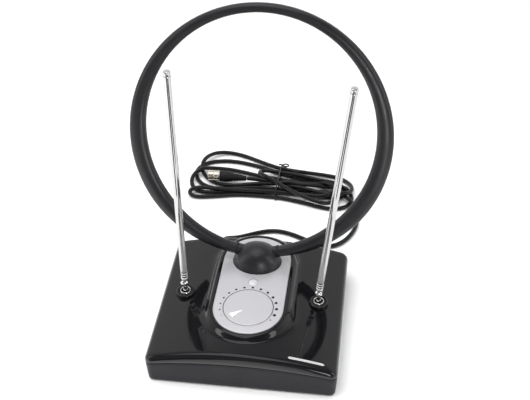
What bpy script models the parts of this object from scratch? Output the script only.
"""Indoor television aerial: a tilting UHF loop and two telescopic VHF rods on a weighted base.

Every dimension below is in millimetres and every angle in degrees. The helpers multiply lengths
by MM as they make meshes, so the scene itself is in metres, with +Z up and the feet on z = 0.
"""
import math

import bmesh
import bpy
from mathutils import Matrix, Vector

MM = 0.001
GAP = 0.3

# Housing
BASE_WIDTH = 150.0
BASE_DEPTH = 141.0
BASE_CORNER = 6.0
BASE_DRAFT = 1.2
BASE_BACK_SHIFT = -13.2
WALL = 2.4
TRAY_BOTTOM = 1.2
TRAY_FLOOR = 3.4
SEAM_MIDDLE = 27.0
SEAM_RISE = 6.5
LID_MIDDLE = 36.5
LID_RISE = 10.5
LID_EDGE = 4.0

# Raised stadium in the middle of the lid, and the faceplate let into it
STADIUM_RADIUS = 28.5
STADIUM_FRONT = -19.1
STADIUM_BACK = 37.7
STADIUM_TOP = 39.6
STADIUM_RIM = 1.6
SKIRT = 6.5
LEDGE = 3.0
LEDGE_TOP = 38.0
PLATE_TOP = 39.7
PLATE_THICKNESS = 1.4

# Gain knob and indicator
KNOB_RADIUS = 19.9
KNOB_TOP = 40.0
KNOB_REST_ANGLE = -137.0
INDICATOR_Y = 10.2
INDICATOR_RADIUS = 3.8

# UHF loop and the barrel it tilts on
BARREL_Y = 36.3
BARREL_HALF_LENGTH = 20.0
BARREL_RADIUS = 16.7
BARREL_WALL = 2.5
LOOP_LEAN = 15.0
LOOP_HALF_WIDTH = 98.9
LOOP_HALF_HEIGHT = 102.4
LOOP_CENTRE = 111.3
LOOP_HALF_DEPTH = 4.5
LOOP_END_X = 10.0
LOOP_STEPS = 48
AXLE_RADIUS = 2.0

# Telescopic rods
PIVOT_X = 54.7
HINGE_Z = 43.2
ROD_LENGTH = 199.0
ROD_FOOT = 4.6
TUBE_WALL = 0.3
SECTION_RADII = (2.8, 2.2, 1.6, 1.0)
SECTION_FEET = (ROD_FOOT, 25.0, 30.0, 35.0)
CRIMPS = (7.3, 9.7, 12.1)
RIGHT_LEAN = 6.0
RIGHT_LEAN_AZIMUTH = -17.6

# Aerial lead
CORD_DIAMETER = 4.0
GLAND_X = -38.0
GLAND_Z = 11.0
GLAND_END_Y = 90.5
HANK_BOTTOM = 1.3
HANK_TOP = 10.8
TIE_THICKNESS = 0.8
PLUG_TIP = (-70.0, 188.8, 9.4)
PLUG_TAIL = (-31.9, 191.0, 6.8)
SHELL_LENGTH = 11.2

MODEL = "rabbit_ears_antenna"
CUTTERS = "cutters"

PALETTE = {
    "gloss_black": ((0.010, 0.010, 0.012), 0.08, 0.0),
    "satin_black": ((0.022, 0.022, 0.025), 0.42, 0.0),
    "loop_black": ((0.020, 0.020, 0.023), 0.36, 0.0),
    "silver_plate": ((0.62, 0.61, 0.64), 0.38, 0.55),
    "chrome": ((0.86, 0.86, 0.87), 0.08, 1.0),
    "steel": ((0.45, 0.45, 0.46), 0.40, 1.0),
    "zinc": ((0.62, 0.62, 0.60), 0.35, 1.0),
    "brass": ((0.78, 0.60, 0.30), 0.25, 1.0),
    "nickel": ((0.82, 0.76, 0.62), 0.22, 1.0),
    "copper": ((0.80, 0.42, 0.26), 0.35, 1.0),
    "rubber": ((0.016, 0.016, 0.017), 0.75, 0.0),
    "cord_black": ((0.018, 0.018, 0.020), 0.45, 0.0),
    "board_green": ((0.02, 0.16, 0.08), 0.45, 0.0),
    "ferrite": ((0.07, 0.07, 0.08), 0.60, 0.0),
    "insulator": ((0.85, 0.84, 0.80), 0.40, 0.0),
    "clear": ((0.88, 0.90, 0.90), 0.10, 0.0),
}


# ---------------------------------------------------------------- scene helpers

def clear_scene():
    for obj in list(bpy.data.objects):
        bpy.data.objects.remove(obj, do_unlink=True)


def collection(name):
    made = bpy.data.collections.new(name)
    bpy.context.scene.collection.children.link(made)
    return made


def material(name):
    if name in bpy.data.materials:
        return bpy.data.materials[name]
    colour, roughness, metallic = PALETTE[name]
    made = bpy.data.materials.new(name)
    made.use_nodes = True
    shader = made.node_tree.nodes["Principled BSDF"]
    shader.inputs["Base Color"].default_value = (*colour, 1.0)
    shader.inputs["Roughness"].default_value = roughness
    shader.inputs["Metallic"].default_value = metallic
    return made


def frame_at(name, place, parent=None, turn=(0.0, 0.0, 0.0)):
    """An empty that pieces hang on: the model's own frame, or a joint's axis."""
    empty = bpy.data.objects.new(name, None)
    empty.empty_display_size = 0.01
    empty.location = Vector(place) * MM
    empty.rotation_euler = [math.radians(a) for a in turn]
    empty.parent = parent
    bpy.data.collections[MODEL].objects.link(empty)
    return empty


def add_object(name, data, finish, parent, place=(0, 0, 0), turn=(0, 0, 0)):
    obj = bpy.data.objects.new(name, data)
    obj.location = Vector(place) * MM
    obj.rotation_euler = [math.radians(a) for a in turn]
    obj.parent = parent
    if finish is None:
        obj.hide_render = True
        obj.display_type = "WIRE"
        bpy.data.collections[CUTTERS].objects.link(obj)
    else:
        data.materials.append(material(finish))
        bpy.data.collections[MODEL].objects.link(obj)
    return obj


def mesh_from(name, bm, smooth_angle=35.0):
    bmesh.ops.scale(bm, vec=(MM, MM, MM), verts=bm.verts)
    bmesh.ops.recalc_face_normals(bm, faces=bm.faces)
    mesh = bpy.data.meshes.new(name)
    bm.to_mesh(mesh)
    bm.free()
    mesh.shade_smooth()
    mesh.set_sharp_from_angle(angle=math.radians(smooth_angle))
    return mesh


def boolean(obj, operation, *others):
    for other in others:
        step = obj.modifiers.new(other.name, "BOOLEAN")
        step.operation = operation
        step.solver = "EXACT"
        step.object = other


def cut(obj, *cutters):
    boolean(obj, "DIFFERENCE", *cutters)


def join(obj, *additions):
    boolean(obj, "UNION", *additions)


# ---------------------------------------------------------------- shape helpers

def turned(name, outline, finish, parent, place=(0, 0, 0), turn=(0, 0, 0), steps=20):
    """A solid of revolution about local Z. The (radius, z) outline runs down its outer side;
    it is closed through the axis, or through its own first point for a ring."""
    mesh = bpy.data.meshes.new(name)
    points = [(r * MM, 0.0, z * MM) for r, z in outline]
    edges = [(i, i + 1) for i in range(len(points) - 1)]
    if outline[0][0] > 0 and outline[-1][0] > 0:
        edges.append((len(points) - 1, 0))
    mesh.from_pydata(points, edges, [])
    obj = add_object(name, mesh, finish, parent, place, turn)
    screw = obj.modifiers.new("turn", "SCREW")
    screw.axis = "Z"
    screw.steps = steps
    screw.render_steps = steps
    screw.use_merge_vertices = True
    screw.merge_threshold = 0.00001
    return obj


def box(name, low, high, finish, parent):
    """An upright block between two corners of its parent's frame."""
    low, high = Vector(low), Vector(high)
    bm = bmesh.new()
    bmesh.ops.create_cube(bm, size=1.0)
    bmesh.ops.scale(bm, vec=high - low, verts=bm.verts)
    return add_object(name, mesh_from(name, bm), finish, parent, (low + high) / 2)


def rods(name, places, radius, low, high, finish, parent, axis="Z", segments=20):
    """Upright cylinders (or cylinders along X or Y) at several (a, b) places, in one mesh."""
    bm = bmesh.new()
    turns = {"Z": Matrix(), "X": Matrix.Rotation(math.pi / 2, 4, "Y"),
             "Y": Matrix.Rotation(math.pi / 2, 4, "X")}
    for a, b in places:
        middle = (low + high) / 2
        centre = {"Z": (a, b, middle), "X": (middle, a, b), "Y": (a, middle, b)}[axis]
        bmesh.ops.create_cone(bm, cap_ends=True, segments=segments, radius1=radius,
                              radius2=radius, depth=high - low,
                              matrix=Matrix.Translation(centre) @ turns[axis])
    return add_object(name, mesh_from(name, bm), finish, parent)


def ellipsoid(name, half_length, radius, finish, parent):
    """An ellipsoid of revolution about local X."""
    bm = bmesh.new()
    bmesh.ops.create_uvsphere(bm, u_segments=20, v_segments=14, radius=1.0)
    bmesh.ops.rotate(bm, matrix=Matrix.Rotation(math.pi / 2, 3, "Y"), verts=bm.verts)
    bmesh.ops.scale(bm, vec=(half_length, radius, radius), verts=bm.verts)
    return add_object(name, mesh_from(name, bm), finish, parent)


def prism(name, outline, low, high, finish, parent, place=(0, 0, 0), turn=(0, 0, 0)):
    """A flat outline in local X-Y, extruded from low to high."""
    bm = bmesh.new()
    face = bm.faces.new([bm.verts.new((x, y, low)) for x, y in outline])
    risen = bmesh.ops.extrude_face_region(bm, geom=[face])
    top = [v for v in risen["geom"] if isinstance(v, bmesh.types.BMVert)]
    bmesh.ops.translate(bm, vec=(0, 0, high - low), verts=top)
    return add_object(name, mesh_from(name, bm), finish, parent, place, turn)


def loft(name, rings, finish, parent, closed=False):
    """Skins rings of equal length, one after another; closed joins the last to the first."""
    bm = bmesh.new()
    rows = [[bm.verts.new(point) for point in ring] for ring in rings]
    pairs = list(zip(rows, rows[1:]))
    if closed:
        pairs.append((rows[-1], rows[0]))
    for lower, upper in pairs:
        for i in range(len(lower)):
            j = (i + 1) % len(lower)
            bm.faces.new((lower[i], lower[j], upper[j], upper[i]))
    if not closed:
        bm.faces.new(rows[0][::-1])
        bm.faces.new(rows[-1])
    return add_object(name, mesh_from(name, bm), finish, parent)


def arc(centre, radius, start, end, steps):
    """Points of a circular arc, both ends included; angles in degrees."""
    points = []
    for i in range(steps + 1):
        angle = math.radians(start + (end - start) * i / steps)
        points.append((centre[0] + radius * math.cos(angle), centre[1] + radius * math.sin(angle)))
    return points


def smooth_through(points, spacing):
    """A Catmull-Rom curve through the points, read about every spacing."""
    guides = [points[0] * 2 - points[1], *points, points[-1] * 2 - points[-2]]
    path = []
    for a, b, c, d in zip(guides, guides[1:], guides[2:], guides[3:]):
        steps = max(1, round((c - b).length / spacing))
        for i in range(steps):
            t = i / steps
            path.append(0.5 * (2 * b + (c - a) * t + (2 * a - 5 * b + 4 * c - d) * t ** 2
                               + (3 * b - a - 3 * c + d) * t ** 3))
    return [*path, points[-1]]


def wire(name, points, radius, finish, parent, bevel_resolution=2):
    """A round tube along points, with filled caps."""
    curve = bpy.data.curves.new(name, "CURVE")
    curve.dimensions = "3D"
    curve.bevel_depth = radius * MM
    curve.bevel_resolution = bevel_resolution
    curve.use_fill_caps = True
    curve.render_resolution_u = 0
    spline = curve.splines.new("POLY")
    spline.points.add(len(points) - 1)
    for slot, point in zip(spline.points, points):
        slot.co = (*(Vector(point) * MM), 1.0)
    return add_object(name, curve, finish, parent)


# ---------------------------------------------------------------- housing

def sagging(x, middle, rise):
    """Height at x of an arch that drops by rise from the middle to the base's sides."""
    half = BASE_WIDTH / 2
    radius = (half ** 2 + rise ** 2) / (2 * rise)
    return middle - radius + math.sqrt(radius ** 2 - min(abs(x), half) ** 2)


def base_outline(inset):
    """Points round the base's plan, anticlockwise, moved in by inset."""
    half_x = BASE_WIDTH / 2 - inset
    half_y = BASE_DEPTH / 2 - inset
    radius = max(BASE_CORNER - inset, 0.8)
    corners = ((half_x, half_y, 0), (-half_x, half_y, 90), (-half_x, -half_y, 180), (half_x, -half_y, 270))
    sides = (12, 6, 12, 6)
    points = []
    for (cx, cy, start), steps in zip(corners, sides):
        centre = (cx - math.copysign(radius, cx), cy - math.copysign(radius, cy))
        points += arc(centre, radius, start, start + 90, 3)
        here = Vector(points[-1])
        along = math.radians(start + 180)
        length = 2 * (half_x if steps == sides[0] else half_y) - 2 * radius
        for i in range(1, steps):
            points.append(tuple(here + Vector((math.cos(along), math.sin(along))) * length * i / steps))
    return points


def stadium_distance(x, y):
    """Distance outside the stadium's edge, negative inside it."""
    nearest_y = min(max(y, STADIUM_FRONT), STADIUM_BACK)
    return math.hypot(x, y - nearest_y) - STADIUM_RADIUS


def stadium_reach(direction, radius):
    """Distance from the stadium's middle to its edge along a unit direction."""
    half = (STADIUM_BACK - STADIUM_FRONT) / 2
    dx, dy = direction
    if abs(dx) > 1e-6 and abs(dy) * radius / abs(dx) <= half:
        return radius / abs(dx)
    along = half * abs(dy)
    return along + math.sqrt(along ** 2 - half ** 2 + radius ** 2)


def edge_depth(x, y):
    """Distance inside the base's outline."""
    qx = abs(x) - BASE_WIDTH / 2 + BASE_CORNER
    qy = abs(y) - BASE_DEPTH / 2 + BASE_CORNER
    outside = min(max(qx, qy), 0.0) + math.hypot(max(qx, 0.0), max(qy, 0.0)) - BASE_CORNER
    return -outside


def lid_height(x, y):
    """Top of the lid: an arch with a rounded edge, rising into the stadium's flared skirt."""
    inside = min(max(LID_EDGE - edge_depth(x, y), 0.0), LID_EDGE)
    arch = sagging(x, LID_MIDDLE, LID_RISE) - LID_EDGE + math.sqrt(LID_EDGE ** 2 - inside ** 2)
    blend = min(max((stadium_distance(x, y) - STADIUM_RIM) / SKIRT, 0.0), 1.0)
    blend = blend * blend * (3 - 2 * blend)
    return STADIUM_TOP + (arch - STADIUM_TOP) * blend


def lid_rings():
    """Rings from the rim's lower outer edge over the top, into the opening and back underneath."""
    middle = Vector((0.0, (STADIUM_FRONT + STADIUM_BACK) / 2))
    outer = [Vector(p) for p in base_outline(0.0)]
    inner = [Vector(p) for p in base_outline(WALL)]
    rays = [(p - middle).normalized() for p in outer]

    def top_ring(from_stadium, from_edge, share):
        """Part of the way from a line outside the stadium to a line inside the edge."""
        ring = []
        for point, ray in zip(outer, rays):
            near = stadium_reach(ray, STADIUM_RADIUS)
            far = (point - middle).length
            squeeze = min(1.0, (far - near) / (STADIUM_RIM + SKIRT + LID_EDGE + 1.0))
            near += from_stadium * squeeze
            far -= from_edge * squeeze
            place = middle + ray * (near + (far - near) * share)
            ring.append((place.x, place.y, lid_height(place.x, place.y)))
        return ring

    def under_ring(share, height):
        """Part of the way from the opening's edge to the rim's inner face."""
        ring = []
        for point, ray in zip(inner, rays):
            edge = middle + ray * stadium_reach(ray, STADIUM_RADIUS - LEDGE)
            place = edge.lerp(point, share)
            ring.append((place.x, place.y, height(place.x)))
        return ring

    def opening(offset, height):
        ring = []
        for ray in rays:
            place = middle + ray * stadium_reach(ray, STADIUM_RADIUS + offset)
            ring.append((place.x, place.y, height))
        return ring

    def seam(x):
        return sagging(x, SEAM_MIDDLE, SEAM_RISE) + GAP / 2

    def ceiling(x):
        return sagging(x, LID_MIDDLE, LID_RISE) - WALL

    foot = STADIUM_RIM + SKIRT
    rings = [[(p.x, p.y, seam(p.x)) for p in outer]]
    rings += [top_ring(0, inset, 1.0) for inset in (0.0, 0.5, 1.7)]
    rings += [top_ring(foot, LID_EDGE, share) for share in (1.0, 0.67, 0.33, 0.0)]
    rings += [top_ring(offset, 0, 0.0) for offset in (foot * 0.65, foot * 0.4, STADIUM_RIM)]
    rings += [opening(GAP, STADIUM_TOP), opening(GAP, LEDGE_TOP), opening(-LEDGE, LEDGE_TOP)]
    rings += [under_ring(share, ceiling) for share in (0.0, 0.5, 1.0)]
    rings.append(under_ring(1.0, seam))
    return rings


SCREW_PLACES = [(sx * 62.0, sy * 58.0) for sx in (-1, 1) for sy in (-1, 1)]
FOOT_PLACES = [(sx * 60.0, sy * 38.0) for sx in (-1, 1) for sy in (-1, 1)]
BOARD_POSTS = [(sx * 41.0, y) for sx in (-1, 1) for y in (-45.0, 11.0)]
CORNER_NAMES = ("front_left", "back_left", "front_right", "back_right")


def build_lid(root):
    lid = loft("top_cover", lid_rings(), "gloss_black", root, closed=True)
    join(lid, rods("lid_posts", SCREW_PLACES, 4.0, 7.0, 28.2, None, root, segments=16))
    cut(lid, rods("lid_post_bores", SCREW_PLACES, 1.8, 6.0, 18.0, None, root, segments=12),
        rods("lid_swivel_holes", [(-PIVOT_X, 0.0), (PIVOT_X, 0.0)], 7.7, 20.0, 40.0, None, root))


def build_tray(root):
    def ring(inset, height):
        return [(x, y, height(x) if callable(height) else height) for x, y in base_outline(inset)]

    def seam(x):
        return sagging(x, SEAM_MIDDLE, SEAM_RISE) - GAP / 2

    tray = loft("base_tray", [ring(BASE_DRAFT + 0.8, TRAY_BOTTOM), ring(BASE_DRAFT, TRAY_BOTTOM + 0.8),
                              ring(0.0, seam), ring(WALL, seam), ring(WALL + 1.0, TRAY_FLOOR)],
                "satin_black", root)
    join(tray, rods("tray_screw_pads", SCREW_PLACES, 5.2, 3.0, 6.7, None, root, segments=16),
         rods("tray_board_posts", BOARD_POSTS, 3.2, 3.0, 16.8, None, root, segments=12))
    cut(tray, rods("tray_counterbores", SCREW_PLACES, 3.2, 0.0, 3.9, None, root, segments=16),
        rods("tray_screw_bores", SCREW_PLACES, 1.9, 3.0, 8.0, None, root, segments=12),
        rods("tray_foot_seats", FOOT_PLACES, 6.3, 0.0, 2.3, None, root),
        rods("tray_gland_hole", [(GLAND_X, GLAND_Z)], 3.5, 60.0, 75.0, None, root, axis="Y"))


def build_fixings(root):
    for (x, y), corner in zip(SCREW_PLACES, CORNER_NAMES):
        turned(f"case_screw_{corner}",
               [(0, 16.6), (0.9, 16.2), (1.5, 15.0), (1.5, 3.6), (2.8, 3.6), (2.8, 1.9), (2.4, 1.6),
                (0, 1.6)], "steel", root, (x, y, 0), steps=12)
    for (x, y), corner in zip(FOOT_PLACES, CORNER_NAMES):
        turned(f"foot_{corner}", [(0, 2.0), (6.0, 2.0), (6.0, 0.5), (5.5, 0), (0, 0)], "rubber",
               root, (x, y, 0))


def build_inside(root):
    """Ballast, amplifier board and what is soldered to it."""
    box("ballast_plate", (-35, -50, 3.7), (35, 50, 7.7), "steel", root)
    box("circuit_board", (-46, -50, 17.1), (46, 16, 18.7), "board_green", root)
    box("amplifier_shield", (-42, -29, 19.0), (-14, 1, 27.0), "zinc", root)
    turned("matching_transformer", [(6.5, 25.0), (6.5, 19.0), (3.0, 19.0), (3.0, 25.0)], "ferrite",
           root, (30, -4, 0), steps=20)
    turned("indicator_led", [(0, 24.4), (1.3, 24.0), (2.2, 23.0), (2.5, 21.6), (2.5, 19.0), (0, 19.0)],
           "clear", root, (0, INDICATOR_Y, 0), steps=16)
    pot = box("gain_potentiometer", (-8, STADIUM_FRONT - 8, 19.0), (8, STADIUM_FRONT + 8, 25.6), "steel",
              root)
    join(pot, rods("potentiometer_bushing", [(0, STADIUM_FRONT)], 4.6, 24.0, 28.4, None, root))
    cut(pot, rods("potentiometer_bore", [(0, STADIUM_FRONT)], 3.3, 21.2, 30.0, None, root))


def build_faceplate(root):
    inset = STADIUM_RADIUS - GAP / 2
    outline = (arc((0, STADIUM_FRONT), inset, 180, 360, 24) + arc((0, STADIUM_BACK), inset, 0, 180, 24))
    bottom = PLATE_TOP - PLATE_THICKNESS
    plate = prism("faceplate", outline, bottom, PLATE_TOP, "silver_plate", root)
    opening = [(x * (BARREL_HALF_LENGTH + 0.5), BARREL_Y + y * (BARREL_RADIUS + 0.5))
               for x, y in arc((0, 0), 1.0, 0, 350, 35)]
    cut(plate, rods("faceplate_knob_hole", [(0, STADIUM_FRONT)], KNOB_RADIUS + 0.4, 30, 45, None, root,
                    segments=36),
        prism("faceplate_barrel_opening", opening, 30, 45, None, root),
        rods("faceplate_indicator_hole", [(0, INDICATOR_Y)], INDICATOR_RADIUS + GAP, 30, 45, None, root))
    turned("indicator_lens",
           [(0, 40.2), (1.6, 40.1), (3.0, 39.8), (3.8, 39.3), (3.8, 38.0), (5.0, 38.0), (5.0, 36.4),
            (1.6, 35.6), (1.6, 24.9), (0, 24.9)], "clear", root, (0, INDICATOR_Y, 0), steps=20)


def build_knob(root):
    axis = frame_at("gain_axis", (0, STADIUM_FRONT, 0), root, (0, 0, KNOB_REST_ANGLE))
    knob = turned("gain_knob",
                  [(0, KNOB_TOP), (KNOB_RADIUS - 1.2, KNOB_TOP), (KNOB_RADIUS - 0.3, KNOB_TOP - 0.35),
                   (KNOB_RADIUS, KNOB_TOP - 1.1), (KNOB_RADIUS, 37.0), (5.0, 37.0), (5.0, 29.0),
                   (3.3, 29.0), (3.3, 37.6), (0, 37.6)], "silver_plate", axis, steps=36)
    pointer = [(6.0, -0.25), (16.4, -2.6), (16.4, 2.6), (6.0, 0.25)]
    join(knob, prism("knob_pointer", pointer, KNOB_TOP - 0.8, KNOB_TOP + 0.9, None, axis))
    turned("knob_shaft", [(0, 37.2), (3.0, 37.2), (3.0, 21.5), (0, 21.5)], "brass", axis, steps=20)


# ---------------------------------------------------------------- UHF loop

def loop_width(t):
    """Radial width of the loop at angle t from its bottom: slim at the top, broad low down."""
    from_top = abs(180.0 - math.degrees(t))
    if from_top <= 120.0:
        return 7.8 + 7.2 * math.sin(math.radians(0.75 * from_top)) ** 2
    return 9.0 + 6.0 * math.cos(math.radians(1.5 * (from_top - 120.0))) ** 2


def loop_station(t):
    """Centre of the loop and its outward direction at angle t, in the loop's own plane."""
    centre = Vector((LOOP_HALF_WIDTH * math.sin(t), 0.0, LOOP_CENTRE - LOOP_HALF_HEIGHT * math.cos(t)))
    along = Vector((LOOP_HALF_WIDTH * math.cos(t), 0.0, LOOP_HALF_HEIGHT * math.sin(t)))
    return centre, along.cross(Vector((0, 1, 0))).normalized()


def loop_section(t, outline):
    """The loop's section at angle t: an outline of (radial, across) points, put in its place."""
    centre, outward = loop_station(t)
    return [tuple(centre + outward * radial + Vector((0, across, 0))) for radial, across in outline(t)]


def half_section(side):
    """Half of the loop's oval section, with the wire's channel in its flat face."""
    def outline(t):
        half = loop_width(t) / 2
        skin = [(half * math.cos(a), side * (GAP / 2 + (LOOP_HALF_DEPTH - GAP / 2) * math.sin(a)))
                for a in (math.pi * i / 6 for i in range(7))]
        channel = [(-1.7, GAP / 2), (-1.2, 1.5), (1.2, 1.5), (1.7, GAP / 2)]
        return skin + [(radial, side * across) for radial, across in channel]
    return outline


def oval(growth):
    """The loop's whole oval section, grown all round."""
    def outline(t):
        half = loop_width(t) / 2 + growth
        return [(half * math.cos(a), (LOOP_HALF_DEPTH + growth) * math.sin(a))
                for a in (math.tau * i / 12 for i in range(12))]
    return outline


def build_loop(root):
    axis = frame_at("loop_axis", (0, BARREL_Y, PLATE_TOP), root, (-LOOP_LEAN, 0, 0))
    start = math.asin(LOOP_END_X / LOOP_HALF_WIDTH)
    angles = [start + (math.tau - 2 * start) * i / LOOP_STEPS for i in range(LOOP_STEPS + 1)]
    for name, side in (("loop_front_shell", -1), ("loop_back_shell", 1)):
        loft(name, [loop_section(t, half_section(side)) for t in angles], "loop_black", axis)
    early = math.asin(6.0 / LOOP_HALF_WIDTH)
    conductor = [loop_station(early + (math.tau - 2 * early) * i / LOOP_STEPS)[0]
                 for i in range(LOOP_STEPS + 1)]
    wire("loop_conductor", conductor, 0.9, "copper", axis, bevel_resolution=1)
    turned("loop_axle", [(0, 18.7), (AXLE_RADIUS, 18.7), (AXLE_RADIUS, -18.7), (0, -18.7)], "steel",
           axis, turn=(0, 90, 0), steps=16)
    build_barrel(axis, angles)
    build_bracket(root)


def build_barrel(axis, angles):
    """Two half shells that clamp the loop's ends, open below for the bracket they tilt on."""
    hollow = ellipsoid("barrel_hollow", BARREL_HALF_LENGTH - BARREL_WALL, BARREL_RADIUS - BARREL_WALL,
                       None, axis)
    low, high = math.radians(-110), math.radians(-20)
    slot = [(0, 0), (25 * math.cos(low), 25 * math.sin(low)), (18, -25),
            (25 * math.cos(high), 25 * math.sin(high))]
    opening = prism("barrel_opening", slot, -11, 11, None, axis, turn=(90, 0, 90))
    bore = rods("barrel_axle_bore", [(0, 0)], AXLE_RADIUS + GAP, -19, 19, None, axis, axis="X",
                segments=16)
    arm_holes = [loft(f"barrel_arm_hole_{i}", [loop_section(t, oval(GAP)) for t in ends], None, axis)
                 for i, ends in enumerate((angles[:6], angles[-6:]))]
    for name, side in (("barrel_front", 1), ("barrel_back", -1)):
        shell = ellipsoid(name, BARREL_HALF_LENGTH, BARREL_RADIUS, "loop_black", axis)
        edge = -side * GAP / 2
        low_corner = (-30, min(edge, side * 30), -30)
        high_corner = (30, max(edge, side * 30), 30)
        cut(shell, hollow, opening, bore, *arm_holes,
            box(f"{name}_parting", low_corner, high_corner, None, axis))
    clearance = ellipsoid("barrel_clearance", BARREL_HALF_LENGTH + GAP, BARREL_RADIUS + GAP, None, axis)
    near, far = math.asin(15.5 / LOOP_HALF_WIDTH), math.asin(20.4 / LOOP_HALF_WIDTH)
    for name, ends in (("loop_grommet_right", (near, far)),
                       ("loop_grommet_left", (math.tau - far, math.tau - near))):
        rings = [loop_section(t, oval(growth)) for t, growth in
                 ((ends[0], GAP), (ends[0], 1.7), (ends[1], 1.7), (ends[1], GAP))]
        cut(loft(name, rings, "rubber", axis, closed=True), clearance)


def build_bracket(root):
    """Steel bracket on the ballast plate that carries the loop's axle inside the barrel."""
    low, high = BARREL_Y - 3.5, BARREL_Y + 3.5
    bracket = box("loop_bracket", (-14, low, 8.0), (14, high, 9.5), "steel", root)
    for name, x in (("bracket_left_arm", -8.0), ("bracket_right_arm", 8.0)):
        join(bracket, box(name, (x - 0.75, low, 8.4), (x + 0.75, high, PLATE_TOP + 3.3), None, root))
    cut(bracket, rods("bracket_axle_holes", [(BARREL_Y, PLATE_TOP)], AXLE_RADIUS + GAP, -12, 12, None,
                      root, axis="X", segments=16))


# ---------------------------------------------------------------- telescopic rods

def section_tube(name, radius, foot, crimps, parent):
    """One drawn tube, with crimped grooves near its foot where it is closed on the tongue."""
    top = ROD_LENGTH - 3.6
    outside = [(radius, top)]
    inside = [(radius - TUBE_WALL, top)]
    for z in sorted(crimps, reverse=True):
        for offset, depth in ((0.7, 0.0), (0.0, 0.3), (-0.7, 0.0)):
            outside.append((radius - depth, z + offset))
            inside.append((radius - TUBE_WALL - depth, z + offset))
    outside.append((radius, foot))
    inside.append((radius - TUBE_WALL, foot))
    turned(name, outside + inside[::-1], "chrome", parent, steps=16)


def build_rod(side, root, lean, azimuth):
    mark = "left" if side < 0 else "right"
    place = (side * PIVOT_X, 0, 0)
    turned(f"{mark}_swivel_collar",
           [(6.9, 34.2), (7.4, 33.7), (7.4, 26.1), (9.3, 26.1), (9.3, 23.6), (1.8, 23.6), (1.8, 30.5),
            (3.6, 30.5), (3.6, 33.3), (4.75, 33.3), (4.75, 34.2)], "satin_black", root, place)
    turned(f"{mark}_swivel_bezel",
           [(3.8, 35.0), (4.2, 34.8), (4.4, 34.3), (4.4, 33.7), (3.5, 33.7), (3.5, 34.7)], "chrome", root,
           place)

    swivel = frame_at(f"{mark}_swivel_axis", (side * PIVOT_X, 0, HINGE_Z), root, (0, 0, azimuth))
    fork = turned(f"{mark}_swivel_fork",
                  [(0, 3.5), (1.3, 3.25), (2.4, 2.5), (3.2, 1.4), (3.5, 0), (3.2, -1.4), (2.4, -2.6),
                   (1.4, -3.4), (1.4, -21.6), (0, -21.6)], "chrome", swivel)
    cut(fork, box(f"{mark}_fork_slot", (-6, -1.1, -2.9), (6, 1.1, 6), None, swivel),
        rods(f"{mark}_fork_pin_hole", [(0, 0)], 1.15, -6, 6, None, swivel, axis="Y", segments=12))
    nut = turned(f"{mark}_swivel_nut", [(0, -19.9), (3.2, -19.9), (3.2, -21.3), (0, -21.3)], "steel",
                 swivel, steps=6)
    cut(nut, rods(f"{mark}_nut_bore", [(0, 0)], 1.7, -23, -18, None, swivel, segments=16))
    turned(f"{mark}_hinge_pin",
           [(0, 3.6), (1.0, 3.4), (1.0, 3.2), (0.85, 3.1), (0.85, -3.1), (1.0, -3.2), (1.0, -3.4),
            (0, -3.6)], "steel", swivel, turn=(90, 0, 0), steps=12)

    tilt = frame_at(f"{mark}_tilt_axis", (0, 0, 0), swivel, (0, lean, 0))
    tongue = rods(f"{mark}_rod_tongue", [(0, 0)], 2.5, -0.8, 0.8, "chrome", tilt, axis="Y", segments=20)
    join(tongue, box(f"{mark}_tongue_neck", (-1.7, -0.79, 0), (1.7, 0.79, 4.6), None, tilt),
         rods(f"{mark}_tongue_plug", [(0, 0)], 1.9, 4.1, 15.0, None, tilt, segments=16))
    cut(tongue, rods(f"{mark}_tongue_pin_hole", [(0, 0)], 1.15, -2, 2, None, tilt, axis="Y", segments=12))
    for number, (radius, foot) in enumerate(zip(SECTION_RADII[:3], SECTION_FEET[:3]), start=1):
        section_tube(f"{mark}_rod_section_{number}", radius, foot, CRIMPS if number == 1 else (), tilt)
    top = ROD_LENGTH - 1.7
    turned(f"{mark}_rod_section_4", [(0, top), (SECTION_RADII[3], top), (SECTION_RADII[3], SECTION_FEET[3]),
                                     (0, SECTION_FEET[3])], "chrome", tilt, steps=12)
    cap = SECTION_RADII[0]
    turned(f"{mark}_tip_cap",
           [(0, ROD_LENGTH), (1.4, ROD_LENGTH - 0.25), (2.3, ROD_LENGTH - 0.9), (cap, ROD_LENGTH - 1.9),
            (cap, ROD_LENGTH - 3.3), (1.3, ROD_LENGTH - 3.3), (1.3, ROD_LENGTH - 1.4), (0, ROD_LENGTH - 1.4)],
           "chrome", tilt, steps=20)


# ---------------------------------------------------------------- aerial lead

# Centre line of the free lead, from the strain relief round the base's back to the hank.
LEAD_ROUTE = [
    (-38.0, 90.9, 11.0), (-37.7, 94.2, 10.4), (-35.8, 98.3, 7.8), (-31.5, 102.6, 4.6),
    (-25.5, 106.8, 2.6), (-18.0, 111.2, 2.2), (-8.5, 116.2, 2.2), (2.0, 119.6, 2.2),
    (12.5, 119.4, 2.2), (24.0, 115.4, 2.2), (36.0, 109.8, 2.2), (46.5, 104.8, 2.2),
    (55.5, 103.2, 2.2), (63.8, 106.6, 2.2), (70.6, 114.4, 2.2), (75.8, 124.0, 2.2),
    (79.2, 134.4, 2.2), (79.6, 145.0, 2.2), (78.2, 154.6, 3.0), (77.0, 161.2, 4.0),
]

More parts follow.
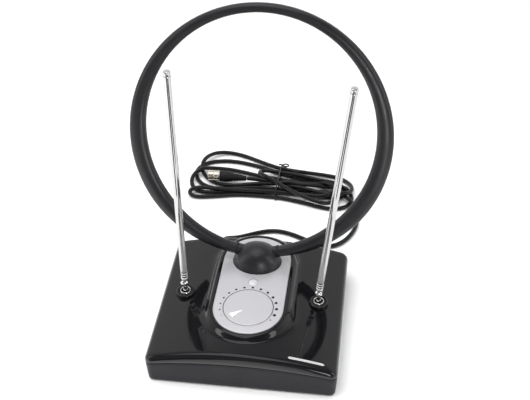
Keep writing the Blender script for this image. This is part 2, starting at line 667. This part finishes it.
# Outer edge of the folded lead, seen from above, anticlockwise from where the lead enters it.
HANK_EDGE = [
    (79.2, 161.95), (79.4, 170), (77.5, 182), (73.5, 197), (65.5, 206.6), (55, 211), (28, 212.4),
    (3, 214.6), (-3, 215.2), (-24, 229), (-41, 237), (-58, 239.6), (-71, 234.8), (-79, 224),
    (-85, 212), (-88.4, 197), (-88.6, 164), (-82, 161.4), (-56, 161.6), (-35, 165.4), (-3, 164.8),
    (3, 164.6), (25, 160.2), (40, 157), (52, 155), (63, 156.4), (71, 160.4), (73.2, 161.95),
]

# The gap inside the hank's left folds, where the plug lies.
PLUG_BAY = [
    (-31.6, 185), (-31.6, 197), (-45, 202), (-60, 204), (-76, 200), (-79, 190), (-74, 181.4), (-60, 180.8),
    (-45, 182),
]


def build_lead(root):
    turned("cord_gland",
           [(0, 20.2), (2.4, 20.2), (2.8, 19.4), (4.4, 3.4), (4.6, 0), (3.2, 0), (3.2, -3.4), (4.9, -3.4),
            (4.9, -5.0), (0, -5.0)], "rubber", root, (GLAND_X, GLAND_END_Y - 20.2, GLAND_Z),
           turn=(-90, 0, 0), steps=20)
    route = smooth_through([Vector(p) for p in LEAD_ROUTE], 2.5 * CORD_DIAMETER)
    wire("antenna_cord", route, CORD_DIAMETER / 2, "cord_black", root)
    hank = prism("cord_hank", HANK_EDGE, HANK_BOTTOM, HANK_TOP, "cord_black", root)
    cut(hank, prism("hank_plug_bay", PLUG_BAY, 0, 14, None, root))
    low, high = HANK_BOTTOM - GAP, HANK_TOP + GAP
    reach = GAP + TIE_THICKNESS
    tie = box("cord_tie", (-0.6, 164.2 - reach, low - TIE_THICKNESS), (0.6, 215.3 + reach, high + TIE_THICKNESS),
              "cord_black", root)
    cut(tie, box("tie_inside", (-2, 164.2 - GAP, low), (2, 215.3 + GAP, high), None, root))


def build_plug(root):
    tip, tail = Vector(PLUG_TIP), Vector(PLUG_TAIL)
    axis = frame_at("plug_axis", tip, root)
    axis.rotation_euler = (tail - tip).to_track_quat("Z", "Y").to_euler()
    length = (tail - tip).length
    turned("plug_shell", [(5.0, SHELL_LENGTH), (5.0, 0.3), (4.8, 0), (4.15, 0), (4.15, SHELL_LENGTH)],
           "nickel", axis)
    turned("plug_insulator", [(3.8, 11.0), (3.8, 6.0), (1.5, 6.0), (1.5, 11.0)], "insulator", axis,
           steps=20)
    turned("plug_pin", [(0, 11.0), (1.2, 11.0), (1.2, 1.6), (0.7, 0.8), (0, 0.8)], "brass", axis, steps=12)
    boot = SHELL_LENGTH + GAP
    turned("plug_boot",
           [(0, length), (2.4, length), (2.8, length - 6), (4.4, 24.0), (5.4, 19.5), (5.5, 14.0),
            (5.3, boot), (0, boot)], "rubber", axis, steps=20)


def build():
    clear_scene()
    collection(MODEL)
    collection(CUTTERS)
    root = frame_at("base_centre", (0, BASE_BACK_SHIFT, 0))
    build_tray(root)
    build_lid(root)
    build_fixings(root)
    build_inside(root)
    build_faceplate(root)
    build_knob(root)
    build_loop(root)
    build_rod(-1, root, 0.0, 180.0)
    build_rod(1, root, RIGHT_LEAN, RIGHT_LEAN_AZIMUTH)
    build_lead(root)
    build_plug(root)


build()
